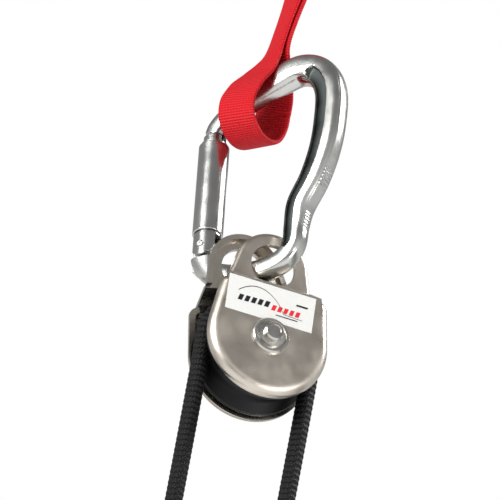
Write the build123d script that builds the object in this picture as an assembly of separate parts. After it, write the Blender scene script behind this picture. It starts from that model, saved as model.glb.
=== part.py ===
from build123d import *
import math
import os

# Rope pulley on a locking carabiner, hung from a webbing sling, with a rope over its sheave.
# Everything is first built about the pulley's axle: X across the pulley, Y along the axle
# with the labelled front cheek towards -Y, Z up. The last step moves the origin to the
# middle of the sling's upper eye, which is what holds the whole thing up.

# ---- driving dimensions, mm and degrees ----
ROPE_D = 7.6
ROPE_LINE_R = 25.3          # rope centreline on the sheave
LEFT_KNOT_Z = -112.0
RIGHT_KNOT_Z = -99.0
KNOT_R = 9.0
ROPE_LEAN = 3.5             # how far towards -X both runs are drawn by their lower ends

CHEEK_R = 28.0              # round lower part of a cheek
CHEEK_T = 2.4               # sheet thickness
RIM_Y = 11.0                # where a cheek's rim ends, from mid-plane
FACE_Y = 16.0               # outer face of a cheek's pan
LOBE_Y = 5.3                # outer face of a cheek's upper lobe
LOBE_R = 16.7
SHOULDER_X = 24.6
SHOULDER_Z = 25.7
JOG_TOP_Z = 33.5
EYE_Z = 42.0
EYE_R = 10.4
BACK_SWING = 15.0           # back cheek's swing about the axle, towards -X

SHEAVE_R = 26.8
SHEAVE_W = 19.0
TREAD_R = 20.8
AXLE_R = 4.0
BUSH_R = 6.0
BEARING_R = 7.5
RUN_FIT = 0.08              # radial clearance of a running fit

CARABINER_TURN = 40.0       # carabiner's plane, turned from the axle towards +X
CARABINER_X = -5.45
STOCK_T = 9.0               # stock thickness across the carabiner's plane
GATE_R = 5.0
SLEEVE_R = 6.85
GATE_LEAN = 4.0
PIVOT_A = -28.2
PIVOT_Z = 56.5
GATE_LENGTH = 59.2          # pivot to the gate's top
TANG_T = 5.0
PIN_R = 1.65                # gate's pivot pin, pressed in the body and free in the gate

WEB_W = 18.0                # sling webbing
WEB_T = 2.4
SLING_TOP_A = 4.6           # middle of the sling's upper eye, in the carabiner's plane
SLING_TOP_Z = 222.0
LOOP_A = -14.0              # middle of the sling's lower loop, about the top bar
LOOP_Z = 134.0
LOOP_SLOPE = 8.0
LOOP_INNER_R = 12.4
STRAP_FOOT = (-10.0, 150.5)
EYE_INNER_R = 10.0

ACROSS = Vector(math.sin(math.radians(CARABINER_TURN)), -math.cos(math.radians(CARABINER_TURN)), 0)
OUT = Vector(-math.cos(math.radians(CARABINER_TURN)), -math.sin(math.radians(CARABINER_TURN)), 0)
CARABINER = Plane(origin=(CARABINER_X, 0, 0), x_dir=ACROSS, z_dir=OUT)
SLING_TOP = CARABINER.from_local_coords(Vector(SLING_TOP_A, SLING_TOP_Z, 0))

# Centreline of the carabiner's body in its own plane, with the stock's height at each
# station: from the nose over the top bar, down the spine and round the narrow bottom.
BODY_STATIONS = [
    (-32.2, 116.6, 8.4),
    (-30.7, 120.8, 8.8),
    (-25.6, 126.2, 9.8),
    (-15.2, 134.2, 11.4),
    (-4.0, 139.6, 12.8),
    (8.6, 143.0, 13.6),
    (19.4, 139.2, 14.0),
    (25.2, 129.4, 14.0),
    (26.8, 114.0, 14.0),
    (26.2, 99.0, 13.6),
    (23.0, 84.0, 13.0),
    (18.0, 71.0, 12.2),
    (17.2, 60.0, 11.0),
    (17.2, 51.0, 10.2),
    (13.8, 44.4, 9.8),
    (6.8, 40.6, 9.8),
    (-2.5, 39.4, 9.8),
    (-13.0, 39.7, 10.2),
    (-23.0, 43.0, 11.0),
    (-28.0, 50.4, 12.0),
]
PARTS = {}


def revolve_about_axle(points):
    """A turned piece: points are (radius, y) in order round its section."""
    with BuildPart() as piece:
        with BuildSketch(Plane.XY):
            with BuildLine():
                Polyline(*points, close=True)
            make_face()
        revolve(axis=Axis.Y)
    return piece.part


def ring(outer_r, inner_r, y_low, y_high):
    """A flat ring about the axle between two places along it."""
    return revolve_about_axle(
        [(inner_r, y_low), (outer_r, y_low), (outer_r, y_high), (inner_r, y_high)]
    )


def front_plane(y):
    """Sketch plane that faces -Y at that y, with X to the right and Z up."""
    return Plane(origin=(0, y, 0), x_dir=(1, 0, 0), z_dir=(0, -1, 0))


def pan_outline(inset):
    """Round lower part of a cheek with its straight sides up to the two shoulders."""
    with BuildSketch(front_plane(0)) as outline:
        with BuildLine():
            Line((-SHOULDER_X + inset, SHOULDER_Z - inset), (SHOULDER_X - inset, SHOULDER_Z - inset))
            CenterArc((0, 0), CHEEK_R - inset, 0, 360)
        make_hull()
        fillet(outline.vertices().group_by(Axis.Z)[-1], 4.4 - 0.6 * inset)
    return outline.sketch


def lobe_outline(inset):
    """Tapering upper part of a cheek, with its round top about the eye."""
    with BuildSketch(front_plane(0)) as outline:
        with BuildLine():
            Line((-SHOULDER_X + 1.8 + inset, 18), (SHOULDER_X - 1.8 - inset, 18))
            CenterArc((0, EYE_Z), LOBE_R - inset, 0, 360)
        make_hull()
    return outline.sketch


def prism(outline, y_low, y_high):
    """Extrude an outline along the axle between two places."""
    return extrude(Pos(0, y_high, 0) * outline, amount=y_high - y_low)


def dished(outline, y_face, y_open, corner):
    """A prism whose front edge, at y_face, is rounded as a pressing rounds it."""
    solid = prism(outline, y_face, y_open)
    front = solid.faces().sort_by(Axis.Y)[0]
    return fillet(front.edges(), corner)


def cheek():
    """Pressed front cheek: a dished pan, a steep step inwards and a dished upper lobe."""
    pan = dished(pan_outline(0), -FACE_Y, -RIM_Y, 4.2)
    pan -= dished(pan_outline(CHEEK_T), -FACE_Y + CHEEK_T, -RIM_Y + 1, 1.9)
    pan -= Pos(0, -FACE_Y + CHEEK_T + 4, SHOULDER_Z) * Box(40, 8, 6.2)
    side = [
        (-FACE_Y, 20.0), (-FACE_Y, 26.3), (-LOBE_Y, JOG_TOP_Z), (-LOBE_Y, 62.0),
        (-LOBE_Y + CHEEK_T, 62.0), (-LOBE_Y + CHEEK_T, JOG_TOP_Z - 1.4),
        (-FACE_Y + CHEEK_T, 24.9), (-FACE_Y + CHEEK_T, 20.0),
    ]
    with BuildPart() as bent:
        with BuildSketch(Plane.YZ.offset(-26)):
            with BuildLine():
                Polyline(*side, close=True)
            make_face()
        extrude(amount=52)
    lobe = bent.part & prism(lobe_outline(0), -FACE_Y - 1, 0)
    rim = dished(lobe_outline(0), -LOBE_Y, -LOBE_Y + 4.6, 2.2)
    rim -= prism(lobe_outline(CHEEK_T), -LOBE_Y - 1, 0)
    rim -= Pos(0, -5, JOG_TOP_Z - 15) * Box(60, 30, 30)
    corner_cut = prism(lobe_outline(0), -LOBE_Y - 1, 0) - dished(lobe_outline(0), -LOBE_Y, 1, 2.2)
    corner_cut -= Pos(0, -5, JOG_TOP_Z - 15) * Box(60, 30, 30)
    solid = pan + (lobe - corner_cut) + rim
    solid -= Pos(0, 0, EYE_Z) * Rot(90, 0, 0) * Cylinder(EYE_R, 60)
    solid -= Rot(90, 0, 0) * Cylinder(AXLE_R + RUN_FIT, 60)
    return solid


def make_pulley():
    """Cheeks, sheave, bearing, axle, washers and label."""
    front = cheek()
    PARTS["front_cheek"] = front
    PARTS["back_cheek"] = Rot(0, -BACK_SWING, 0) * mirror(front, about=Plane.XZ)

    half = SHEAVE_W / 2
    groove = ROPE_D / 2 + 0.5
    with BuildPart() as sheave:
        with BuildSketch(Plane.XY):
            with BuildLine():
                low = Polyline((BEARING_R, -half), (SHEAVE_R, -half), (SHEAVE_R, -half + 2.2))
                run_in = Line(low @ 1, (TREAD_R + 2.0, -groove))
                tread = ThreePointArc(run_in @ 1, (TREAD_R, 0), (TREAD_R + 2.0, groove))
                out = Line(tread @ 1, (SHEAVE_R, half - 2.2))
                Polyline(out @ 1, (SHEAVE_R, half), (BEARING_R, half), low @ 0)
            make_face()
        revolve(axis=Axis.Y)
    wheel = sheave.part
    for side in (-1, 1):
        wheel -= ring(20.5, 11.5, side * half - 1.6, side * half + 1.6)
    PARTS["sheave"] = wheel
    PARTS["sheave_bearing"] = ring(BEARING_R, BUSH_R + RUN_FIT, -half - 0.2, half + 0.2)

    inner_face = FACE_Y - CHEEK_T
    PARTS["inner_bush"] = ring(BUSH_R, AXLE_R, -inner_face, inner_face - 0.1)
    PARTS["front_spacer"] = ring(10.5, BUSH_R, -inner_face, -half - 0.5)
    PARTS["back_spacer"] = ring(10.5, BUSH_R, half + 0.5, inner_face - 0.2)

    PARTS["front_washer"] = revolve_about_axle([
        (AXLE_R, -FACE_Y), (8.6, -FACE_Y), (8.6, -FACE_Y - 1.0), (8.0, -FACE_Y - 1.8),
        (6.9, -FACE_Y - 1.8), (6.6, -FACE_Y - 1.4), (AXLE_R, -FACE_Y - 1.4),
    ])
    PARTS["back_washer"] = ring(8.6, AXLE_R, FACE_Y + 0.1, FACE_Y + 1.6)
    seat = -FACE_Y - 1.4
    head = [
        (0, seat + 0.0), (0, seat - 4.2), (2.7, seat - 4.2), (3.0, seat - 4.7), (3.9, seat - 4.7),
        (4.6, seat - 4.0), (4.6, seat - 1.6), (6.0, seat - 1.3), (6.0, seat), (AXLE_R, seat),
        (AXLE_R, FACE_Y + 7.6), (AXLE_R - 0.8, FACE_Y + 8.4), (0, FACE_Y + 8.4),
    ]
    PARTS["axle_bolt"] = revolve_about_axle(head)
    with BuildPart() as nut:
        with BuildSketch(Plane(origin=(0, FACE_Y + 1.6, 0), x_dir=(1, 0, 0), z_dir=(0, 1, 0))):
            RegularPolygon(6.5, 6, major_radius=False)
            Circle(AXLE_R, mode=Mode.SUBTRACT)
        extrude(amount=5.4)
    blank = revolve_about_axle([
        (0, FACE_Y + 1.6), (7.0, FACE_Y + 1.6), (7.6, FACE_Y + 2.2),
        (7.6, FACE_Y + 6.2), (6.4, FACE_Y + 7.0), (0, FACE_Y + 7.0),
    ])
    PARTS["axle_nut"] = nut.part & blank
    PARTS["label"] = Pos(-2.1, -FACE_Y - 0.1, 16.4) * Box(41.0, 0.2, 17.6)
    PARTS["label"] -= Rot(90, 0, 0) * Cylinder(8.9, 60)


def offset_points(side):
    """Points beside the body's centreline: side is 1 for its outer edge and -1 for its inner edge."""
    points = []
    last = len(BODY_STATIONS) - 1
    for index, (a, z, height) in enumerate(BODY_STATIONS):
        before = BODY_STATIONS[max(index - 1, 0)]
        after = BODY_STATIONS[min(index + 1, last)]
        along = Vector(after[0] - before[0], after[1] - before[1]).normalized()
        points.append((a - side * along.Y * height / 2, z + side * along.X * height / 2))
    return points


def gate_frame():
    """Plane at the gate's pivot: x across the gate inwards, z up along it, y through the pivot."""
    up = Vector(-math.sin(math.radians(GATE_LEAN)), math.cos(math.radians(GATE_LEAN)), 0)
    along = ACROSS * up.X + Vector(0, 0, 1) * up.Y
    origin = CARABINER.from_local_coords(Vector(PIVOT_A, PIVOT_Z, 0))
    inward = along.cross(OUT) * -1
    return Plane(origin=origin, x_dir=inward, z_dir=along)


def make_carabiner():
    """Body, gate with its return spring and follower, and the twist sleeve with its spring."""
    with BuildPart() as body:
        with BuildSketch(CARABINER):
            with BuildLine():
                outer = Spline(*offset_points(1))
                inner = Spline(*offset_points(-1))
                Line(outer @ 0, inner @ 0)
                Line(outer @ 1, inner @ 1)
            make_face()
        extrude(amount=STOCK_T / 2, both=True)
        long_edges = [e for e in body.edges() if e.length > 200]
        fillet(long_edges, 3.4)
    at_pivot = gate_frame()
    solid = body.part
    tang = Box(10.0, TANG_T, 12.0, align=(Align.CENTER, Align.CENTER, Align.MAX))
    tang = tang + Rot(90, 0, 0) * Cylinder(5.0, TANG_T)
    solid -= at_pivot * Pos(0, 0, 2.0) * Box(16, 16, 15.6)
    solid += at_pivot * tang
    solid -= at_pivot * (Rot(90, 0, 0) * Cylinder(PIN_R, 20))
    top = GATE_LENGTH
    solid -= at_pivot * Pos(0, 0, top + 0.6 - 3) * Box(16, 16, 6)
    solid += at_pivot * Pos(0, 0, top - 0.3) * Box(5.0, 3.4, 4.0)
    PARTS["carabiner_body"] = solid

    gate = Pos(0, 0, 4) * Cylinder(GATE_R, top - 4, align=(Align.CENTER, Align.CENTER, Align.MIN))
    foot = Cylinder(6.2, 6.6, align=(Align.CENTER, Align.CENTER, Align.MIN))
    foot += Rot(90, 0, 0) * Cylinder(5.4, 12.4) & Cylinder(6.2, 12)
    gate += foot
    gate -= Pos(0, 0, 0) * Box(20, TANG_T + 0.4, 12.0)
    gate -= Rot(90, 0, 0) * Cylinder(PIN_R + 0.05, 20)
    gate -= Pos(0, 0, 5.9) * Cylinder(2.5, 24, align=(Align.CENTER, Align.CENTER, Align.MIN))
    gate -= Pos(0, 0, top - 1.5) * Box(20, 4.2, 4.0)
    neck = Cylinder(GATE_R + 1, 1.2) - Cylinder(GATE_R - 0.8, 1.2)
    gate -= Pos(0, 0, top - 3.9) * neck
    gate -= Pos(0, 0, 13) * (Cylinder(GATE_R + 1, 8) - Cylinder(GATE_R - 1.1, 8))
    PARTS["gate"] = at_pivot * gate
    PARTS["gate_pin"] = at_pivot * (Rot(90, 0, 0) * fillet(Cylinder(PIN_R, 13.6).edges(), 0.5))

    spring = coil(1.9, 0.7, 14.4, 7)
    PARTS["gate_spring"] = at_pivot * Pos(0, 0, 14.9) * spring
    follower = Pos(0, 0, 6.3) * Cylinder(2.35, 8.0, align=(Align.CENTER, Align.CENTER, Align.MIN))
    PARTS["gate_plunger"] = at_pivot * follower
    PARTS["sleeve_spring"] = at_pivot * Pos(0, 0, 9.6) * coil(4.45, 0.7, 6.4, 4)

    low = 7.4
    high = top - 4.7
    height = high - low
    sleeve = Pos(0, 0, low) * Cylinder(SLEEVE_R, height, align=(Align.CENTER, Align.CENTER, Align.MIN))
    sleeve = fillet(sleeve.edges(), 0.5)
    bore = Cylinder(GATE_R + 0.15, height + 2, align=(Align.CENTER, Align.CENTER, Align.MIN))
    sleeve -= Pos(0, 0, low - 1) * bore
    scoop_r = 90.0
    scoop = Rot(90, 0, 0) * Cylinder(scoop_r, 30)
    sleeve -= Rot(0, 0, 50) * Pos(-SLEEVE_R - scoop_r + 1.0, 0, 30) * scoop
    PARTS["lock_sleeve"] = at_pivot * sleeve
    keeper = Cylinder(5.9, 0.9) - Cylinder(GATE_R - 0.7, 0.9)
    PARTS["sleeve_ring"] = at_pivot * Pos(0, 0, top - 3.9) * keeper


def coil(mid_r, wire, height, turns):
    """A helical spring standing on z = 0, with its wire's middle inside the given height."""
    path = Helix(pitch=(height - wire) / turns, height=height - wire, radius=mid_r)
    section = Plane(origin=path @ 0, z_dir=path % 0) * Circle(wire / 2)
    return Pos(0, 0, wire / 2) * sweep(section, path=path)


def make_rope():
    """Rope over the sheave, hanging on both sides down to a stopper knot."""
    corner = ROPE_LINE_R * math.tan(math.radians(22.5))
    route = [
        (-ROPE_LINE_R - ROPE_LEAN, 0, LEFT_KNOT_Z + KNOT_R),
        (-ROPE_LINE_R, 0, corner),
        (-corner, 0, ROPE_LINE_R),
        (corner, 0, ROPE_LINE_R),
        (ROPE_LINE_R, 0, corner),
        (ROPE_LINE_R - ROPE_LEAN, 0, RIGHT_KNOT_Z + KNOT_R),
    ]
    radius = 0.45 * 2 * corner / math.tan(math.radians(22.5))
    with BuildPart() as tube:
        with BuildLine() as line:
            FilletPolyline(*route, radius=radius)
        with BuildSketch(Plane(origin=route[0], z_dir=Vector(*route[1]) - Vector(*route[0]))):
            Circle(ROPE_D / 2)
        sweep(path=line.wires()[0])
    PARTS["rope"] = tube.part
    length = line.wires()[0].length
    expected = math.pi * ROPE_D ** 2 / 4 * length
    print("rope radii", round(radius, 2), "length", round(length, 1))
    print("rope volume over section times length", round(tube.part.volume / expected, 4))
    for name, x, z in (("left", -ROPE_LINE_R, LEFT_KNOT_Z), ("right", ROPE_LINE_R, RIGHT_KNOT_Z)):
        knot = Sphere(KNOT_R + 1.5)
        knot &= Pos(0, 0, -2) * Box(40, 40, 2 * KNOT_R + 4)
        PARTS[name + "_knot"] = Pos(x - ROPE_LEAN, 0, z) * knot


def upright(origin, axis):
    """Plane across a loop of the sling's webbing, with y as near up as its axis lets it be."""
    return Plane(origin=origin, x_dir=OUT, z_dir=axis)


def webbing_loop(plane, inner_r, apex, rise):
    """A closed loop of webbing: round at one end and drawn together at its apex."""
    end = apex if rise > 0 else -apex
    with BuildSketch(plane) as outside:
        with BuildLine():
            CenterArc((0, 0), inner_r + WEB_T, 0, 360)
            Line((-WEB_T, end), (WEB_T, end))
        make_hull()
    with BuildSketch(plane) as inside:
        Circle(inner_r)
    return extrude(outside.sketch, WEB_W / 2, both=True) - extrude(inside.sketch, WEB_W, both=True)


def make_sling():
    """Webbing sling: a loose loop round the carabiner's top bar, a double strap and an upper eye."""
    centre = CARABINER.from_local_coords(Vector(LOOP_A, LOOP_Z, 0))
    slope = math.radians(LOOP_SLOPE)
    loop_axis = ACROSS * -math.cos(slope) - Vector(0, 0, 1) * math.sin(slope)
    loop = webbing_loop(upright(centre, loop_axis), LOOP_INNER_R, 20.0, 1)
    foot = CARABINER.from_local_coords(Vector(STRAP_FOOT[0], STRAP_FOOT[1], 0))
    top = SLING_TOP - Vector(0, 0, EYE_INNER_R + 4)
    rise = (top - foot).normalized()
    strap_plane = Plane(origin=foot, x_dir=OUT.cross(rise), z_dir=rise)
    strap = extrude(strap_plane * Rectangle(WEB_W, 2 * WEB_T), (top - foot).length)
    eye = webbing_loop(upright(SLING_TOP, ACROSS * -1), EYE_INNER_R, 17.0, -1)
    PARTS["sling"] = loop + strap + eye
    tack_plane = Plane(origin=top - rise * 14, x_dir=OUT.cross(rise), z_dir=rise)
    tack = Box(13, 2 * WEB_T + 1.0, 14) - Box(14, 2 * WEB_T, 15)
    PARTS["sling_stitching"] = tack_plane * tack


def main():
    """Build every piece, move the origin to the sling's upper eye and write one STEP file each."""
    make_pulley()
    make_carabiner()
    make_rope()
    make_sling()
    os.makedirs("parts", exist_ok=True)
    for name, solid in PARTS.items():
        placed = Pos(-SLING_TOP.X, -SLING_TOP.Y, -SLING_TOP.Z) * solid
        placed.label = name
        export_step(placed, f"parts/{name}.step")


main()
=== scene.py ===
import math
import bpy
from mathutils import Matrix, Vector


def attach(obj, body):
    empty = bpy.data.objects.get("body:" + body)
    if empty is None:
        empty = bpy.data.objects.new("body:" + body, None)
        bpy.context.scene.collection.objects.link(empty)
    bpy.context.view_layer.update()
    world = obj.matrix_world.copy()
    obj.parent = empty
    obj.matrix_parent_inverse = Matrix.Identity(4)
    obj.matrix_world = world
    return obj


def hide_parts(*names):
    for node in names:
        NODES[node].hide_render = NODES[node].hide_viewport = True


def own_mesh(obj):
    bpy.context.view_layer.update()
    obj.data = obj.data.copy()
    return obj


# Rope pulley on a locking carabiner, hung from a webbing sling, dressed over its CAD frame.

bl_info = {
    "name": "Rope pulley on a carabiner",
    "version": (1, 0, 0),
    "blender": (4, 5, 0),
    "location": "3D View > Sidebar > Pulley",
    "description": "Builds the finished pieces and the stage of a rope pulley hung from a sling",
    "category": "Object",
}

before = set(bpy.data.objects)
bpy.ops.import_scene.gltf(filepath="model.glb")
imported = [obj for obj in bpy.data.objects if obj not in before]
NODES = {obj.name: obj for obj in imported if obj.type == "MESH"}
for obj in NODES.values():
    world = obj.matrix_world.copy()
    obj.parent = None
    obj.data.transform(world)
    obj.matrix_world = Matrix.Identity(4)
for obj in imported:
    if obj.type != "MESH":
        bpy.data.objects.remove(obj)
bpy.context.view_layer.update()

MM = 0.001
SLING_TOP = Vector((-2.493, -3.524, 222.0))     # the row's origin, seen from the axle
TURN = math.radians(40.0)                       # carabiner's plane, turned from the axle
ACROSS = Vector((math.sin(TURN), -math.cos(TURN), 0.0))
OUT = Vector((-math.cos(TURN), -math.sin(TURN), 0.0))
UP = Vector((0.0, 0.0, 1.0))
CARABINER_X = -5.45
PIVOT = (-28.2, 56.5)
GATE_LEAN = math.radians(4.0)
GATE_LENGTH = 59.2

# Middle of the carabiner's body in its own plane: across, up, and height of the stock there.
BODY_STATIONS = [
    (-32.2, 116.6, 8.4), (-30.7, 120.8, 8.8), (-25.6, 126.2, 9.8), (-15.2, 134.2, 11.4),
    (-4.0, 139.6, 12.8), (8.4, 143.9, 13.6), (19.0, 140.0, 14.0), (25.2, 129.4, 14.0),
    (26.8, 114.0, 14.0), (26.2, 99.0, 13.6), (23.0, 84.0, 13.0), (18.0, 71.0, 12.2),
    (17.2, 60.0, 11.0), (17.2, 51.0, 10.2), (13.8, 44.4, 9.8), (6.8, 40.6, 9.8),
    (-2.5, 39.4, 9.8), (-13.0, 39.7, 10.2), (-23.0, 43.0, 11.0), (-28.0, 50.4, 12.0),
    (-29.0, 58.0, 12.4),
]

# Middle of the sling's webbing, from the top of its upper eye down the near strap, round under
# the carabiner's top bar and back: across, out towards the near side, up, and turn in degrees.
SLING_ROUTE = [
    (4.6, 0.0, 233.2, 0), (4.6, 7.9, 229.9, 0), (4.6, 11.2, 222.0, 0), (4.5, 8.4, 214.4, 4),
    (4.2, 3.4, 208.0, 14), (3.3, 1.4, 202.0, 20), (0.2, 1.3, 186.0, 31), (-3.4, 1.3, 170.0, 36),
    (-6.0, 1.4, 158.0, 34), (-7.6, 2.6, 151.0, 22), (-9.8, 5.6, 143.4, 8), (-12.4, 10.8, 134.6, 2),
    (-14.2, 14.0, 124.8, 0), (-14.8, 11.0, 116.0, 0), (-15.0, 0.0, 112.2, 0),
    (-14.6, -10.8, 116.0, 0), (-13.4, -14.4, 125.0, 0), (-11.6, -12.0, 135.6, 2),
    (-9.4, -6.4, 144.0, 10), (-7.6, -2.8, 151.4, 22), (-6.0, -1.4, 158.0, 34),
    (-3.4, -1.3, 170.0, 36), (0.2, -1.3, 186.0, 31), (3.3, -1.4, 202.0, 20), (4.2, -3.4, 208.0, 14),
    (4.5, -8.4, 214.4, 4), (4.6, -11.2, 222.0, 0), (4.6, -7.9, 229.9, 0),
]

ROPE_LINE = 25.3            # rope's middle line about the axle
ROPE_CORNER = 10.48         # where its curve leaves the straight, on either side of the axle
LEFT_END = -103.0
RIGHT_END = -90.0
KNOT_DROP = 8.0             # from a run's end down to the middle of its knot
ROPE_LEAN = 3.5             # both runs are drawn this far towards -X by their lower ends
BRAID_LAY = 5.6             # length of one turn of the sheath's pattern along the rope
BRAID_AROUND = 2.98         # width of one strand round the rope

PIVOT_R = 5.0               # round eye of the carabiner's foot
RIB_PITCH = 1.7             # grip ribs on the outside of the spine
RIB_HEIGHT = 0.08
RIB_ZONES = ((57.5, 67.0), (81.0, 89.0))        # their lower and upper ends
CREASE_DEPTH = 0.3          # fine groove beside the outer edge

# Places down the body's flank, from its outer edge at 1 to its inner edge at -1.
FLANK_PLACES = (
    1.0, 0.995, 0.98, 0.95, 0.92, 0.89, 0.865, 0.84, 0.8, 0.74, 0.66, 0.58, 0.5, 0.4, 0.3, 0.2,
    0.14, 0.09, 0.05, 0.01, -0.03, -0.08, -0.2, -0.35, -0.5, -0.64, -0.72, -0.76, -0.80, -0.84,
    -0.88, -0.92, -0.95, -0.98, -0.995, -1.0,
)

LABEL_FACE = -16.26         # just proud of the label's film
CAMERA_DISTANCE = 5.0       # metres


# ---------------------------------------------------------------- places and shapes

def from_axle(x, y, z):
    """A point given about the pulley's axle in millimetres, in the row's frame in metres."""
    return (Vector((x, y, z)) - SLING_TOP) * MM


def in_plane(across, up, out=0.0):
    """A point given in the carabiner's own plane, in the row's frame in metres."""
    point = Vector((CARABINER_X, 0.0, 0.0)) + ACROSS * across + OUT * out + UP * up
    return (point - SLING_TOP) * MM


def gate_matrix():
    """Frame at the gate's pivot: x inwards across the gate, z up along it."""
    along = (ACROSS * -math.sin(GATE_LEAN) + UP * math.cos(GATE_LEAN)).normalized()
    inward = -along.cross(OUT)
    side = along.cross(inward)
    turn = Matrix((inward, side, along)).transposed().to_4x4()
    return Matrix.Translation(in_plane(*PIVOT)) @ turn


def catmull(points, steps, closed):
    """Points on a smooth curve through the given ones, with that many steps to a span."""
    count = len(points)
    spans = count if closed else count - 1
    made = []
    for i in range(spans):
        if closed:
            p = [points[(i + k) % count] for k in (-1, 0, 1, 2)]
        else:
            p = [points[min(max(i + k, 0), count - 1)] for k in (-1, 0, 1, 2)]
        for j in range(steps):
            t = j / steps
            made.append(tuple(
                0.5 * (2 * b + (c - a) * t + (2 * a - 5 * b + 4 * c - d) * t * t
                       + (3 * b - a - 3 * c + d) * t ** 3)
                for a, b, c, d in zip(*p)
            ))
    if not closed:
        made.append(tuple(float(value) for value in points[-1]))
    return made


def spaced(points, gap):
    """The same open line with its points about that far apart in its first two values."""
    made = [points[0]]
    for point in points[1:]:
        last = made[-1]
        span = math.hypot(point[0] - last[0], point[1] - last[1])
        for k in range(1, max(1, round(span / gap)) + 1):
            t = k / max(1, round(span / gap))
            made.append(tuple(a + (b - a) * t for a, b in zip(last, point)))
    return made


def smooth(value):
    """0 below 0, 1 above 1 and a soft step between."""
    value = min(max(value, 0.0), 1.0)
    return value * value * (3 - 2 * value)


def loft(name, rings, closed=False):
    """A skin over rings of points, with a UV map in metres: along the line and round the ring."""
    per = len(rings[0])
    count = len(rings)
    verts = [point for ring in rings for point in ring]
    middles = [sum(ring, Vector()) / per for ring in rings]
    along = [0.0]
    for i in range(1, count + 1):
        along.append(along[-1] + (middles[i % count] - middles[i - 1]).length)
    faces = []
    coords = []
    spans = count if closed else count - 1
    for i in range(spans):
        here, there = rings[i], rings[(i + 1) % count]
        round_here = 0.0
        for j in range(per):
            k = (j + 1) % per
            step = (here[k] - here[j]).length
            after = (i + 1) % count
            faces.append((i * per + j, i * per + k, after * per + k, after * per + j))
            low, high = round_here, round_here + step
            coords += [(along[i], low), (along[i], high), (along[i + 1], high), (along[i + 1], low)]
            round_here = high
    if not closed:
        faces.append(tuple(range(per - 1, -1, -1)))
        faces.append(tuple((count - 1) * per + j for j in range(per)))
        coords += [(0.0, 0.0)] * per + [(along[count - 1], 0.0)] * per
    mesh = bpy.data.meshes.new(name)
    mesh.from_pydata(verts, [], faces)
    layer = mesh.uv_layers.new(name="UVMap")
    for loop, pair in zip(layer.data, coords):
        loop.uv = pair
    mesh.validate()
    obj = bpy.data.objects.new(name, mesh)
    bpy.context.scene.collection.objects.link(obj)
    only(obj)
    bpy.ops.object.mode_set(mode="EDIT")
    bpy.ops.mesh.select_all(action="SELECT")
    bpy.ops.mesh.normals_make_consistent(inside=False)
    bpy.ops.object.mode_set(mode="OBJECT")
    return obj


def only(obj):
    """Selects one object and makes it the active one."""
    bpy.ops.object.select_all(action="DESELECT")
    obj.select_set(True)
    bpy.context.view_layer.objects.active = obj


def shade(obj, degrees):
    """Smooth shading, with edges sharper than the angle kept."""
    only(obj)
    bpy.ops.object.shade_smooth_by_angle(angle=math.radians(degrees))


def join(target, others):
    """One object out of several."""
    bpy.ops.object.select_all(action="DESELECT")
    for other in others:
        other.select_set(True)
    target.select_set(True)
    bpy.context.view_layer.objects.active = target
    bpy.ops.object.join()
    return target


def box_at(name, matrix, size, centre):
    """A box in a local frame given in millimetres."""
    bpy.ops.mesh.primitive_cube_add(size=1.0)
    obj = bpy.context.object
    obj.name = name
    spread = Matrix.Diagonal((size[0] * MM, size[1] * MM, size[2] * MM, 1.0))
    obj.matrix_world = matrix @ Matrix.Translation(Vector(centre) * MM) @ spread
    bpy.ops.object.transform_apply(location=True, rotation=True, scale=True)
    return obj


def cut(obj, tool):
    """Takes the tool's space out of the object and removes the tool."""
    only(obj)
    modifier = obj.modifiers.new("cut", "BOOLEAN")
    modifier.operation = "DIFFERENCE"
    modifier.solver = "EXACT"
    modifier.object = tool
    bpy.ops.object.modifier_apply(modifier="cut")
    bpy.data.objects.remove(tool)


def tube(name, path, radius, side, closed=False, strand=0.0, relief=0.0):
    """A round tube along points, side being a direction its line never runs along. With a strand
    pitch in metres, its surface stands up and down by the relief where braided strands cross."""
    sides = 56
    rings = []
    count = len(path)
    gone = 0.0
    for i, point in enumerate(path):
        before = path[(i - 1) % count] if closed else path[max(i - 1, 0)]
        after = path[(i + 1) % count] if closed else path[min(i + 1, count - 1)]
        ahead = (after - before).normalized()
        x = side.cross(ahead).normalized()
        y = ahead.cross(x)
        if i:
            gone += (point - path[i - 1]).length
        ring = []
        for j in range(sides):
            turn = 2 * math.pi * j / sides
            grown = radius
            if strand:
                lay = 2 * math.pi * gone / strand
                grown += relief * math.sin(lay + 8 * turn) * math.sin(lay - 8 * turn)
            ring.append(point + (x * math.cos(turn) + y * math.sin(turn)) * grown)
        rings.append(ring)
    return loft(name, rings, closed=closed)


def evenly(path, gap):
    """Points at even distances along the same line."""
    made = [path[0]]
    need = gap
    for here, there in zip(path, path[1:]):
        span = (there - here).length
        at = 0.0
        while span - at >= need:
            at += need
            made.append(here.lerp(there, at / span))
            need = gap
        need -= span - at
    made.append(path[-1])
    return made


# ---------------------------------------------------------------- materials

def rgb(hex_code):
    """Linear colour of an sRGB hex code."""
    values = [int(hex_code[i:i + 2], 16) / 255 for i in (1, 3, 5)]
    return [v / 12.92 if v <= 0.04045 else ((v + 0.055) / 1.055) ** 2.4 for v in values] + [1.0]


def add(tree, kind, **values):
    """A node with its settings; keys that start with in_ set the input of that number or name."""
    node = tree.nodes.new(kind)
    for key, value in values.items():
        if not key.startswith("in_"):
            setattr(node, key, value)
    for key, value in values.items():
        if key.startswith("in_"):
            label = key[3:]
            socket = node.inputs[int(label)] if label.isdigit() else node.inputs[label]
            if isinstance(value, bpy.types.NodeSocket):
                tree.links.new(value, socket)
            else:
                socket.default_value = value
    return node


def blank(name):
    """A new material, its tree and its main shader."""
    made = bpy.data.materials.new(name)
    made.use_nodes = True
    return made, made.node_tree, made.node_tree.nodes["Principled BSDF"]


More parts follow.
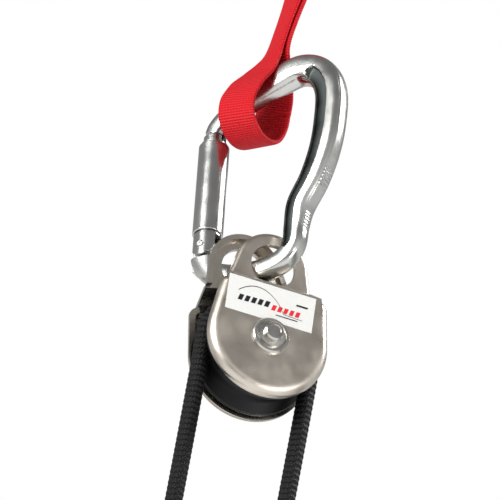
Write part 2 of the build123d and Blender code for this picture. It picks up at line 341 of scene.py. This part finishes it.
def metal(name, hex_code, rough, grain=0.25, wear=0.04):
    """Bare metal with handling marks: grain is their size in millimetres, wear their darkening."""
    made, tree, shader = blank(name)
    base = rgb(hex_code)
    place = add(tree, "ShaderNodeTexCoord")
    fine = add(tree, "ShaderNodeTexNoise", in_Vector=place.outputs["Object"],
               in_Scale=1 / (grain * MM), in_Detail=3.0)
    broad = add(tree, "ShaderNodeTexNoise", in_Vector=place.outputs["Object"],
                in_Scale=1 / (9 * MM), in_Detail=4.0)
    shine = add(tree, "ShaderNodeMapRange", in_0=broad.outputs[0], in_1=0.3, in_2=0.7,
                in_3=rough * 0.75, in_4=rough * 1.3)
    tint = add(tree, "ShaderNodeMix", data_type="RGBA", in_0=broad.outputs[0])
    tint.inputs[6].default_value = [c * (1 - wear) for c in base[:3]] + [1.0]
    tint.inputs[7].default_value = base
    bump = add(tree, "ShaderNodeBump", in_Strength=0.12, in_Distance=0.00003,
               in_Height=fine.outputs[0])
    tree.links.new(tint.outputs[2], shader.inputs["Base Color"])
    tree.links.new(shine.outputs[0], shader.inputs["Roughness"])
    tree.links.new(bump.outputs[0], shader.inputs["Normal"])
    shader.inputs["Metallic"].default_value = 1.0
    return made


def plastic(name, hex_code, rough, grain=0.6):
    """Moulded plastic with a fine moulded skin."""
    made, tree, shader = blank(name)
    base = rgb(hex_code)
    place = add(tree, "ShaderNodeTexCoord")
    fine = add(tree, "ShaderNodeTexNoise", in_Vector=place.outputs["Object"],
               in_Scale=1 / (grain * MM), in_Detail=4.0)
    shine = add(tree, "ShaderNodeMapRange", in_0=fine.outputs[0], in_3=rough * 0.8,
                in_4=rough * 1.25)
    bump = add(tree, "ShaderNodeBump", in_Strength=0.2, in_Distance=0.00004,
               in_Height=fine.outputs[0])
    shader.inputs["Base Color"].default_value = base
    shader.inputs["Specular IOR Level"].default_value = 0.22
    tree.links.new(shine.outputs[0], shader.inputs["Roughness"])
    tree.links.new(bump.outputs[0], shader.inputs["Normal"])
    return made


def wave(tree, source, pitch):
    """A sine along one coordinate, with its pitch in millimetres."""
    turned = add(tree, "ShaderNodeMath", operation="MULTIPLY", in_0=source,
                 in_1=2 * math.pi / (pitch * MM))
    return add(tree, "ShaderNodeMath", operation="SINE", in_0=turned.outputs[0]).outputs[0]


def braid(name, hex_dark_painted_shade, hex_light, around, lay):
    """Braided cord sheath: strands cross in diamonds, set out in the piece's own UV in metres, with
    painted shade in the valleys between the strands.
    """
    made, tree, shader = blank(name)
    place = add(tree, "ShaderNodeUVMap", uv_map="UVMap")
    split = add(tree, "ShaderNodeSeparateXYZ", in_0=place.outputs[0])
    along, about = split.outputs[0], split.outputs[1]
    right = add(tree, "ShaderNodeMath", operation="MULTIPLY_ADD", in_0=about,
                in_1=lay / around, in_2=along)
    left = add(tree, "ShaderNodeMath", operation="MULTIPLY_ADD", in_0=about,
               in_1=-lay / around, in_2=along)
    one = wave(tree, right.outputs[0], lay)
    two = wave(tree, left.outputs[0], lay)
    weave = add(tree, "ShaderNodeMath", operation="MULTIPLY", in_0=one, in_1=two)
    level = add(tree, "ShaderNodeMapRange", in_0=weave.outputs[0], in_1=-0.6, in_2=1.0)
    fibre = add(tree, "ShaderNodeTexNoise", in_Vector=place.outputs[0],
                in_Scale=1 / (0.25 * MM), in_Detail=2.0)
    height = add(tree, "ShaderNodeMath", operation="MULTIPLY_ADD", in_0=fibre.outputs[0],
                 in_1=0.3, in_2=level.outputs[0])
    # Painted shade: the valleys between the strands take the darker colour.
    tint = add(tree, "ShaderNodeMix", data_type="RGBA", in_0=level.outputs[0])
    tint.inputs[6].default_value = rgb(hex_dark_painted_shade)
    tint.inputs[7].default_value = rgb(hex_light)
    bump = add(tree, "ShaderNodeBump", in_Strength=0.8, in_Distance=0.0004,
               in_Height=height.outputs[0])
    tree.links.new(tint.outputs[2], shader.inputs["Base Color"])
    tree.links.new(bump.outputs[0], shader.inputs["Normal"])
    shader.inputs["Roughness"].default_value = 0.55
    shader.inputs["Specular IOR Level"].default_value = 0.225
    return made


def webbing(name, hex_face, hex_fold_painted_shade):
    """Woven nylon webbing: ribs across the strap, set out in the piece's own UV in metres, with
    painted shade in the valleys between the ribs.
    """
    made, tree, shader = blank(name)
    place = add(tree, "ShaderNodeUVMap", uv_map="UVMap")
    split = add(tree, "ShaderNodeSeparateXYZ", in_0=place.outputs[0])
    rib = wave(tree, split.outputs[0], 1.15)
    cross = wave(tree, split.outputs[1], 1.5)
    weave = add(tree, "ShaderNodeMath", operation="MULTIPLY_ADD", in_0=cross, in_1=0.35, in_2=rib)
    fibre = add(tree, "ShaderNodeTexNoise", in_Vector=place.outputs[0], in_Scale=1 / (0.3 * MM),
                in_Detail=3.0)
    height = add(tree, "ShaderNodeMath", operation="MULTIPLY_ADD", in_0=fibre.outputs[0], in_1=0.5,
                 in_2=weave.outputs[0])
    # Painted shade: the valleys between the ribs take the darker red.
    level = add(tree, "ShaderNodeMapRange", in_0=weave.outputs[0], in_1=-1.3, in_2=1.3)
    tint = add(tree, "ShaderNodeMix", data_type="RGBA", in_0=level.outputs[0])
    tint.inputs[6].default_value = rgb(hex_fold_painted_shade)
    tint.inputs[7].default_value = rgb(hex_face)
    bump = add(tree, "ShaderNodeBump", in_Strength=0.6, in_Distance=0.0003,
               in_Height=height.outputs[0])
    tree.links.new(tint.outputs[2], shader.inputs["Base Color"])
    tree.links.new(bump.outputs[0], shader.inputs["Normal"])
    shader.inputs["Roughness"].default_value = 0.65
    shader.inputs["Specular IOR Level"].default_value = 0.25
    return made


def give(obj, *materials):
    """Puts these materials in the object's slots."""
    obj.data.materials.clear()
    for made in materials:
        obj.data.materials.append(made)


def dress(names, made):
    """Gives CAD nodes a material."""
    for name in names:
        give(NODES[name], made)


# ---------------------------------------------------------------- settings

class PulleyColours(bpy.types.PropertyGroup):
    """Finishes that a user would change, and the two colours of painted shade in the webbing's and
    the rope's valleys.
    """
    cheek: bpy.props.StringProperty(
        name="Cheek steel", description="sRGB colour of the cheeks", default="#CAC2B7")
    polished: bpy.props.StringProperty(
        name="Polished alloy", description="sRGB colour of the carabiner", default="#C4C4C1")
    forged: bpy.props.StringProperty(
        name="Forged alloy", description="sRGB colour of the recessed flank", default="#4A4F4E")
    sheave: bpy.props.StringProperty(
        name="Sheave", description="sRGB colour of the sheave", default="#050506")
    web: bpy.props.StringProperty(
        name="Webbing", description="sRGB colour of the sling", default="#D90F1D")
    # Painted shade: the darker red put into the webbing's valleys between its ribs.
    web_painted_shade: bpy.props.StringProperty(
        name="Webbing valleys", description="sRGB colour between its ribs", default="#9C0814")
    rope: bpy.props.StringProperty(
        name="Rope", description="sRGB colour of the rope", default="#0D0D0F")
    # Painted shade: the darker colour put into the rope's valleys between its strands.
    rope_painted_shade: bpy.props.StringProperty(
        name="Rope valleys", description="sRGB colour between its strands", default="#050505")
    label: bpy.props.StringProperty(
        name="Label", description="sRGB colour of the label", default="#CFCFCC")


class PulleySizes(bpy.types.PropertyGroup):
    """Sizes that a user would change."""
    rope_diameter: bpy.props.FloatProperty(
        name="Rope diameter", description="Thickness of the cord", default=0.0076, unit="LENGTH")
    web_width: bpy.props.FloatProperty(
        name="Webbing width", description="Width of the sling's webbing",
        default=0.018, unit="LENGTH")
    web_thickness: bpy.props.FloatProperty(
        name="Webbing thickness", description="Thickness of the webbing",
        default=0.0024, unit="LENGTH")
    stock: bpy.props.FloatProperty(
        name="Stock thickness", description="Carabiner's stock across its plane",
        default=0.0094, unit="LENGTH")
    spine: bpy.props.FloatProperty(
        name="Spine thickness", description="Thickness of the carabiner's spine",
        default=0.0118, unit="LENGTH")
    recess: bpy.props.FloatProperty(
        name="Recess depth", description="Depth of the carabiner's I-beam recess",
        default=0.0019, unit="LENGTH")


# ---------------------------------------------------------------- pieces

class OBJECT_OT_pulley_metalwork(bpy.types.Operator):
    """Gives the cheeks, sheave, axle and the gate's pieces their finishes"""
    bl_idname = "object.pulley_metalwork"
    bl_label = "Metalwork and plastic"

    def execute(self, context):
        colours = context.scene.pulley_colours
        # Stainless sheet, polished after pressing.
        dress(["front_cheek"], metal("Stainless sheet, satin", colours.cheek, 0.34, grain=0.3))
        dress(["back_cheek"], metal("Stainless sheet, polished", colours.cheek, 0.26, grain=0.4))
        # Turned stainless steel of the axle and its fasteners.
        turned = metal("Turned stainless steel", "#BDBAB5", 0.26, grain=0.2)
        dress(["axle_bolt", "axle_nut", "front_washer", "back_washer", "gate_pin", "sleeve_ring"],
              turned)
        # Hardened steel, ground where it runs, and drawn wire.
        dress(["sheave_bearing", "inner_bush"], metal("Ground bearing steel", "#8E8E90", 0.2))
        dress(["gate_spring", "sleeve_spring"], metal("Drawn spring wire", "#77787A", 0.3))
        # Aluminium alloy, polished in a tumbler.
        dress(["gate", "lock_sleeve"],
              metal("Polished alloy of the gate", colours.polished, 0.2, grain=0.5))
        # Moulded black plastics.
        dress(["sheave"], plastic("Black nylon", colours.sheave, 0.38))
        dress(["front_spacer", "back_spacer", "gate_plunger"],
              plastic("Black acetal", "#202021", 0.4))
        return {"FINISHED"}


def body_rings(sizes):
    """Rings of the carabiner's body from nose to foot, and which of its faces lie in the recess.
    The recess runs from the top of the arch down the spine to the lower bend, and the spine is
    thicker than the two bars."""
    stock = sizes.stock / MM
    spine = sizes.spine / MM
    deep = sizes.recess / MM
    line = spaced(catmull(BODY_STATIONS, 12, False), 0.28)
    lengths = [0.0]
    for here, there in zip(line, line[1:]):
        lengths.append(lengths[-1] + math.hypot(there[0] - here[0], there[1] - here[1]))
    start = next(s for s, p in zip(lengths, line) if p[0] > 14.0)
    finish = next(s for s, p in zip(lengths, line) if s > 150 and p[1] < 47.0)
    rings = []
    forged = []
    for i, (a, z, height) in enumerate(line):
        before, after = line[max(i - 2, 0)], line[min(i + 2, len(line) - 1)]
        ahead = Vector((after[0] - before[0], after[1] - before[1])).normalized()
        outward = Vector((-ahead.y, ahead.x))
        half = height / 2
        s = lengths[i]
        wide = smooth((s - 22.0) / 26.0)
        if s > 60:
            wide *= smooth((z - 58.0) / 16.0)
        thick = stock + (spine - stock) * wide
        room = min(s - start, finish - s)
        grown = min(1.0, max(room, 0.0) / 5.0)
        web = 0.40 * math.sqrt(grown * (2 - grown))
        ribbed = a > 10 and any(low < z < high for low, high in RIB_ZONES)
        ridge = RIB_HEIGHT * math.sin(2 * math.pi * s / RIB_PITCH) if ribbed else 0.0
        flank = []
        for f in FLANK_PLACES:
            depth = thick / 2 * (1 - abs(f) ** 2.9) ** (1 / 2.9)
            inside = 1 - smooth((abs(f + 0.37) - web + 0.05) / 0.09) if web > 0 else 0.0
            crease = CREASE_DEPTH * max(0.0, 1 - abs(f - 0.865) / 0.05) if room > 0 else 0.0
            depth -= deep * smooth(room / 4.0) * inside + crease
            n = f * half + (ridge * smooth((f - 0.84) / 0.1) if f > 0 else 0.0)
            flank.append((a + outward.x * n, z + outward.y * n, depth, inside > 0.5))
        round_it = [(p, 1) for p in flank[:-1]] + [(p, -1) for p in reversed(flank[1:])]
        rings.append([in_plane(p[0], p[1], side * p[2]) for p, side in round_it])
        forged.append([p[3] for p, side in round_it])
    return rings, forged


class OBJECT_OT_pulley_carabiner(bpy.types.Operator):
    """Builds the forged carabiner body with its recessed flanks and grip ribs"""
    bl_idname = "object.pulley_carabiner"
    bl_label = "Carabiner body"

    def execute(self, context):
        scene = context.scene
        rings, forged = body_rings(scene.pulley_sizes)
        body = loft("Carabiner_body", rings)
        # Aluminium alloy: polished outside, left as forged in the recess.
        colours = scene.pulley_colours
        give(body, metal("Polished forged alloy", colours.polished, 0.23, grain=0.5),
             metal("As-forged alloy", colours.forged, 0.42, grain=0.3, wear=0.3))
        per = len(rings[0])
        for i, row in enumerate(forged[:-1]):
            for j in range(per):
                if row[j] and row[(j + 1) % per]:
                    body.data.polygons[i * per + j].material_index = 1
        at_pivot = gate_matrix()
        cut(body, box_at("foot_cut", at_pivot, (16, 16, 15.6), (0, 0, 2.0)))
        cut(body, box_at("nose_cut", at_pivot, (16, 16, 6), (0, 0, GATE_LENGTH - 2.4)))
        tang = box_at("tang", at_pivot, (10, 5, 12), (0, 0, -6))
        bpy.ops.mesh.primitive_cylinder_add(vertices=64, radius=PIVOT_R * MM, depth=5 * MM)
        eye = context.object
        eye.matrix_world = at_pivot @ Matrix.Rotation(math.radians(90), 4, "X")
        bpy.ops.object.transform_apply(location=True, rotation=True, scale=True)
        nose = box_at("nose", at_pivot, (5, 3.4, 4), (0, 0, GATE_LENGTH - 0.3))
        for extra in (tang, eye, nose):
            give(extra, body.data.materials[0])
        join(body, [tang, eye, nose])
        shade(body, 32)
        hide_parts("carabiner_body")
        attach(body, "carabiner")
        return {"FINISHED"}


class OBJECT_OT_pulley_sling(bpy.types.Operator):
    """Builds the webbing sling with its slack lower loop"""
    bl_idname = "object.pulley_sling"
    bl_label = "Webbing sling"

    def execute(self, context):
        scene = context.scene
        wide = scene.pulley_sizes.web_width / MM
        thick = scene.pulley_sizes.web_thickness / MM
        line = catmull(SLING_ROUTE, 10, True)
        count = len(line)
        middles = []
        for a, out, z, turn in line:
            swing = math.radians(turn)
            # Where the strap is twisted, its two layers turn about each other.
            if turn > 1:
                a, out = a - out * math.sin(swing), out * math.cos(swing)
            middles.append((in_plane(a, z, out), ACROSS * math.cos(swing) + OUT * math.sin(swing)))
        rings = []
        for i, (point, width) in enumerate(middles):
            ahead = (middles[(i + 1) % count][0] - middles[i - 1][0]).normalized()
            width = (width - ahead * width.dot(ahead)).normalized()
            proud = width.cross(ahead)
            ring = []
            # A flat section with rounded edges.
            for j in range(32):
                turn = 2 * math.pi * j / 32
                x, y = math.cos(turn), math.sin(turn)
                x = math.copysign(abs(x) ** 0.25, x)
                y = math.copysign(abs(y) ** 0.55, y)
                ring.append(point + (width * x * wide / 2 + proud * y * thick / 2) * MM)
            rings.append(ring)
        sling = loft("Webbing_sling", rings, closed=True)
        shade(sling, 60)
        colours = scene.pulley_colours
        give(sling, webbing("Red nylon webbing", colours.web, colours.web_painted_shade))
        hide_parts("sling")
        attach(sling, "sling")
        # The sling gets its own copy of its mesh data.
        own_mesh(sling)
        give(NODES["sling_stitching"], sling.data.materials[0])
        return {"FINISHED"}


def rope_path(name, points):
    """Points along the smooth curve that the rope follows."""
    curve = bpy.data.curves.new(name, "CURVE")
    curve.dimensions = "3D"
    curve.resolution_u = 40
    spline = curve.splines.new("NURBS")
    spline.points.add(len(points) - 1)
    for knot, point in zip(spline.points, points):
        knot.co = (*point, 1.0)
    spline.order_u = 3
    spline.use_endpoint_u = True
    holder = bpy.data.objects.new(name, curve)
    bpy.context.scene.collection.objects.link(holder)
    bpy.context.view_layer.update()
    seen = holder.evaluated_get(bpy.context.evaluated_depsgraph_get())
    mesh = bpy.data.meshes.new_from_object(seen)
    path = [vertex.co.copy() for vertex in mesh.vertices]
    bpy.data.meshes.remove(mesh)
    bpy.data.objects.remove(holder)
    return path


class OBJECT_OT_pulley_rope(bpy.types.Operator):
    """Builds the rope's two runs from the top of the sheave, each down to its stopper knot"""
    bl_idname = "object.pulley_rope"
    bl_label = "Rope and knots"

    def execute(self, context):
        scene = context.scene
        colours = scene.pulley_colours
        thick = scene.pulley_sizes.rope_diameter
        # Braided nylon sheath, its strands one lay apart, with painted shade in the valleys between
        # them.
        sheath = braid("Black braided cord", colours.rope_painted_shade, colours.rope, BRAID_AROUND,
                       BRAID_LAY)
        top = from_axle(0, 0, ROPE_LINE)
        runs = (("Rope_left", -1, LEFT_END, "left_knot"), ("Rope_right", 1, RIGHT_END, "right_knot"))
        for name, side, end, node in runs:
            route = [
                top,
                from_axle(side * ROPE_CORNER, 0, ROPE_LINE),
                from_axle(side * ROPE_LINE, 0, ROPE_CORNER),
                from_axle(side * ROPE_LINE, 0, -ROPE_CORNER),
                from_axle(side * ROPE_LINE - ROPE_LEAN, 0, end),
            ]
            path = evenly(rope_path(name, route), 0.0004)
            run = tube(name, path, thick / 2, Vector((0, 1, 0)), strand=BRAID_LAY * MM,
                       relief=0.00022)
            shade(run, 60)
            give(run, sheath)
            centre = from_axle(side * ROPE_LINE - ROPE_LEAN, 0, end - KNOT_DROP)
            knot = self.knot(name + "_knot", centre, thick)
            give(knot, sheath)
            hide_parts("rope")
            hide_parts(node)
            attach(run, "pulley")
            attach(knot, "pulley")
        return {"FINISHED"}

    def knot(self, name, centre, thick):
        """An overhand knot drawn up tight, in the same cord."""
        path = []
        for i in range(120):
            t = 2 * math.pi * i / 120
            path.append(centre + Vector((
                (math.sin(t) + 2 * math.sin(2 * t)) * 2.0,
                math.sin(3 * t) * 3.6,
                (math.cos(t) - 2 * math.cos(2 * t)) * 2.3,
            )) * MM)
        made = tube(name, path, thick * 0.46, Vector((0.2, 1, 0.1)), closed=True)
        shade(made, 60)
        return made


class OBJECT_OT_pulley_label(bpy.types.Operator):
    """Gives the front cheek's plain label its film and its generic marks"""
    bl_idname = "object.pulley_label"
    bl_label = "Label"

    def execute(self, context):
        # Self-adhesive film, slightly uneven, with two printing inks on it.
        made, tree, shader = blank("Printed white film")
        place = add(tree, "ShaderNodeTexCoord")
        shader.inputs["Roughness"].default_value = 0.35
        paper = add(tree, "ShaderNodeTexNoise", in_Vector=place.outputs["Object"],
                    in_Scale=1 / (1.2 * MM))
        tint = add(tree, "ShaderNodeMix", data_type="RGBA", in_0=paper.outputs[0])
        tint.inputs[6].default_value = rgb(context.scene.pulley_colours.label)
        tint.inputs[7].default_value = rgb("#DAD9D5")
        tree.links.new(tint.outputs[2], shader.inputs["Base Color"])
        give(NODES["label"], made)
        dark = plastic("Black printing ink", "#1C1C20", 0.4, grain=0.3)
        red = plastic("Red printing ink", "#CE2A33", 0.4, grain=0.3)
        marks = self.print_marks((dark, red))
        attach(marks, "pulley")
        return {"FINISHED"}

    def print_marks(self, inks):
        """Plain slanted bars and a swept line that stand for the label's printing."""
        quads = []
        for k in range(5):
            quads.append((-17.5 + 3.1 * k, 13.4 + 0.1 * k, 2.0, 3.0, 0))
            quads.append((-1.6 + 2.8 * k, 13.0, 1.8, 2.8, 1))
        quads.append((9.6, 18.6, 5.4, 0.9, 0))
        quads.append((0.8, 10.9, 10.4, 0.5, 0))
        verts = []
        faces = []
        slots = []
        for x, z, wide, tall, ink in quads:
            at = len(verts)
            lean = tall * 0.28
            corners = ((x, z), (x + wide, z), (x + wide + lean, z + tall), (x + lean, z + tall))
            verts += [from_axle(along, LABEL_FACE, up) for along, up in corners]
            faces.append((at, at + 1, at + 2, at + 3))
            slots.append(ink)
        steps = 24
        for k in range(steps):
            at = len(verts)
            for t in (k / steps, (k + 1) / steps):
                x = -17.6 + 31.0 * t
                z = 13.6 + 9.2 * math.sin(math.pi * min(1.0, t * 1.25 + 0.12)) ** 0.7 - 1.5 * t
                half = 0.12 + 0.10 * (1 - t)
                verts += [from_axle(x, LABEL_FACE, z - half), from_axle(x, LABEL_FACE, z + half)]
            faces.append((at, at + 2, at + 3, at + 1))
            slots.append(0)
        mesh = bpy.data.meshes.new("Label_marks")
        mesh.from_pydata(verts, [], faces)
        marks = bpy.data.objects.new("Label_marks", mesh)
        bpy.context.scene.collection.objects.link(marks)
        give(marks, *inks)
        for polygon, ink in zip(mesh.polygons, slots):
            polygon.material_index = ink
        return marks


class OBJECT_OT_pulley_stage(bpy.types.Operator):
    """Builds the floor, the lights and the camera"""
    bl_idname = "object.pulley_stage"
    bl_label = "Stage"

    def execute(self, context):
        scene = context.scene
        bpy.ops.mesh.primitive_plane_add(size=30, location=(0, 0, -3.2))
        floor = context.object
        floor.name = "Floor"
        made, _, shader = blank("Pale floor")
        shader.inputs["Base Color"].default_value = rgb("#F4F4F4")
        shader.inputs["Roughness"].default_value = 0.8
        give(floor, made)
        self.surround(scene)

        axle = from_axle(0, 0, 0)
        right = Vector((0.9236, -0.358, 0.1227)).normalized()
        back = Vector((-0.248, -0.819, -0.5166)).normalized()
        up = back.cross(right).normalized()
        right = up.cross(back).normalized()
        centre = axle + (right * -3.26 + up * 45.0) * MM
        self.light("Key", centre + (back * 0.5 + up * 0.7 - right * 0.7), centre, 0.7, 16)
        self.light("Fill", centre + (back * 0.9 + right * 0.9 - up * 0.1), centre, 0.5, 6)
        self.light("Rim", centre + (up * 0.5 + right * 0.9 - back * 0.5), centre, 0.5, 9)

        # Lights the floor alone, and isn't mirrored in the metal.
        wash = self.light("Floor wash", Vector((0, 0, -2.2)), Vector((0, 0, -3.2)), 10.0, 330)
        wash.visible_camera = False
        wash.visible_glossy = False

        data = bpy.data.cameras.new("Camera")
        data.sensor_width = 36.0
        data.lens = 818.0
        data.clip_start = 0.05
        camera = bpy.data.objects.new("Camera", data)
        scene.collection.objects.link(camera)
        turn = Matrix((right, up, back)).transposed().to_4x4()
        camera.matrix_world = Matrix.Translation(centre + back * CAMERA_DISTANCE) @ turn
        scene.camera = camera
        scene.view_settings.view_transform = "Standard"
        return {"FINISHED"}

    def surround(self, scene):
        """A soft studio, bright below and darker above, that the camera sees as plain white."""
        world = bpy.data.worlds.new("Soft white studio")
        world.use_nodes = True
        scene.world = world
        tree = world.node_tree
        soft = tree.nodes["Background"]
        place = add(tree, "ShaderNodeTexCoord")
        split = add(tree, "ShaderNodeSeparateXYZ", in_0=place.outputs["Generated"])
        ramp = add(tree, "ShaderNodeValToRGB", in_0=split.outputs[2])
        ramp.color_ramp.elements[0].position = 0.0
        ramp.color_ramp.elements[0].color = (0.90, 0.90, 0.90, 1)
        ramp.color_ramp.elements[1].position = 0.6
        ramp.color_ramp.elements[1].color = (0.26, 0.26, 0.26, 1)
        tree.links.new(ramp.outputs[0], soft.inputs[0])
        soft.inputs[1].default_value = 0.9
        white = add(tree, "ShaderNodeBackground", in_1=1.0)
        white.inputs[0].default_value = (1, 1, 1, 1)
        ray = add(tree, "ShaderNodeLightPath")
        either = add(tree, "ShaderNodeMixShader", in_0=ray.outputs["Is Camera Ray"])
        tree.links.new(soft.outputs[0], either.inputs[1])
        tree.links.new(white.outputs[0], either.inputs[2])
        tree.links.new(either.outputs[0], tree.nodes["World Output"].inputs[0])

    def light(self, name, place, target, size, watts):
        """A square area light that faces the target."""
        data = bpy.data.lights.new(name, "AREA")
        data.size = size
        data.energy = watts
        lamp = bpy.data.objects.new(name, data)
        bpy.context.scene.collection.objects.link(lamp)
        lamp.location = place
        lamp.rotation_euler = (target - place).to_track_quat("-Z", "Y").to_euler()
        return lamp


class VIEW3D_PT_pulley(bpy.types.Panel):
    """Lists the pulley's pieces and settings"""
    bl_label = "Rope pulley"
    bl_idname = "VIEW3D_PT_pulley"
    bl_space_type = "VIEW_3D"
    bl_region_type = "UI"
    bl_category = "Pulley"

    def draw(self, context):
        for group in (context.scene.pulley_sizes, context.scene.pulley_colours):
            for name in group.__annotations__:
                self.layout.prop(group, name)
        for operator in OPERATORS:
            self.layout.operator(operator.bl_idname)


OPERATORS = (
    OBJECT_OT_pulley_metalwork,
    OBJECT_OT_pulley_carabiner,
    OBJECT_OT_pulley_sling,
    OBJECT_OT_pulley_rope,
    OBJECT_OT_pulley_label,
    OBJECT_OT_pulley_stage,
)
CLASSES = (PulleyColours, PulleySizes, *OPERATORS, VIEW3D_PT_pulley)


def register():
    """Registers the settings, operators and panel."""
    for made in CLASSES:
        bpy.utils.register_class(made)
    bpy.types.Scene.pulley_colours = bpy.props.PointerProperty(type=PulleyColours)
    bpy.types.Scene.pulley_sizes = bpy.props.PointerProperty(type=PulleySizes)


def unregister():
    """Removes them again."""
    del bpy.types.Scene.pulley_sizes
    del bpy.types.Scene.pulley_colours
    for made in reversed(CLASSES):
        bpy.utils.unregister_class(made)


def main():
    register()
    bpy.ops.object.pulley_metalwork()
    bpy.ops.object.pulley_carabiner()
    bpy.ops.object.pulley_sling()
    bpy.ops.object.pulley_rope()
    bpy.ops.object.pulley_label()
    bpy.ops.object.pulley_stage()


if __name__ == "__main__":
    main()
